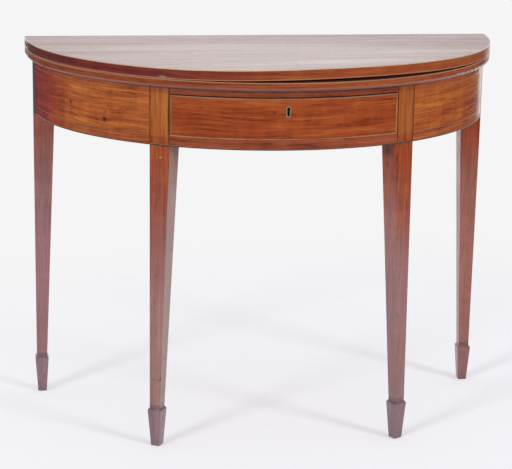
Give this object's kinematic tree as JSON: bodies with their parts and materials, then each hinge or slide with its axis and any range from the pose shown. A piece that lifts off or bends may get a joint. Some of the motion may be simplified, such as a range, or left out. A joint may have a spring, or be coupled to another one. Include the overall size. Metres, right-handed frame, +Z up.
{
  "type": "demilune fold-over table with drawer",
  "caption": "Half-round mahogany fold-over table with a bowed drawer, tapered spade-foot legs, pale inlaid edge lines and rear legs that swing out to carry the opened leaf.",
  "frame": {"origin": "middle of the closed table's bounding box, on the floor", "axes": "+X to the right along the straight back edge, +Y from the bowed front to the back, +Z up"},
  "size_m": [0.92, 0.4652, 0.72],
  "materials": {
    "mahogany": "french polished",
    "plain_wood": "unfinished",
    "pale_line": "polished inlay",
    "brass": "worn",
    "steel": "dull"
  },
  "bodies": {
    "frame": {"back_rail": "plain_wood", "drawer_bottom_rail": "mahogany", "drawer_guide_left": "plain_wood", "drawer_guide_right": "plain_wood", "drawer_kicker_left": "plain_wood", "drawer_kicker_right": "plain_wood", "drawer_runner_left": "plain_wood", "drawer_runner_right": "plain_wood", "drawer_stop_left": "plain_wood", "drawer_stop_right": "plain_wood", "drawer_top_rail": "mahogany", "fixed_hinge_rail": "plain_wood", "frieze_bead": "mahogany", "frieze_left": "mahogany", "frieze_right": "mahogany", "frieze_string_left": "pale_line", "frieze_string_right": "pale_line", "front_leg_left": "mahogany", "front_leg_right": "mahogany", "gate_pin_left": "steel", "gate_pin_right": "steel", "glue_blocks": "plain_wood", "hinge_pin_left": "steel", "hinge_pin_right": "steel", "hinge_rail_screws": "steel", "leaf_fixing_screws": "steel", "lower_hinge_screws": "steel", "lower_hinge_strap_left": "brass", "lower_hinge_strap_right": "brass", "lower_leaf": "mahogany", "lower_leaf_string": "pale_line", "tablet_left": "mahogany", "tablet_right": "mahogany"},
    "top_leaf": {"upper_leaf": "mahogany", "upper_leaf_top_string": "pale_line", "upper_leaf_bottom_string": "pale_line", "upper_hinge_strap_left": "brass", "upper_hinge_strap_right": "brass", "upper_hinge_screws": "steel"},
    "left_gate": {"fly_rail_left": "plain_wood", "rear_leg_left": "mahogany"},
    "right_gate": {"fly_rail_right": "plain_wood", "rear_leg_right": "mahogany"},
    "drawer": {"drawer_front": "mahogany", "drawer_side_left": "plain_wood", "drawer_side_right": "plain_wood", "drawer_back": "plain_wood", "drawer_bottom": "plain_wood", "cock_bead_top": "mahogany", "cock_bead_bottom": "mahogany", "cock_bead_left": "mahogany", "cock_bead_right": "mahogany", "escutcheon": "brass", "lock_case": "brass", "lock_key_pin": "steel", "lock_screws": "steel"},
    "bolt": {"lock_bolt": "steel"}
  },
  "joints": [
    {"name": "leaf_fold", "type": "hinge", "parent": "frame", "child": "top_leaf", "pos_m": [0, 0.2276, 0.70075], "axis": [-1, 0, 0], "range_deg": [0, 180]},
    {"name": "left_gate_swing", "type": "hinge", "parent": "frame", "child": "left_gate", "pos_m": [-0.15, 0.1774, 0.629], "axis": [0, 0, -1], "range_deg": [0, 90]},
    {"name": "right_gate_swing", "type": "hinge", "parent": "frame", "child": "right_gate", "pos_m": [0.15, 0.1774, 0.629], "axis": [0, 0, 1], "range_deg": [0, 90]},
    {"name": "drawer_slide", "type": "slide", "parent": "frame", "child": "drawer", "axis": [0, -1, 0], "range_m": [0, 0.22]},
    {"name": "lock_bolt_slide", "type": "slide", "parent": "drawer", "child": "bolt", "axis": [0, 0, 1], "range_m": [0, 0.0065]}
  ]
}
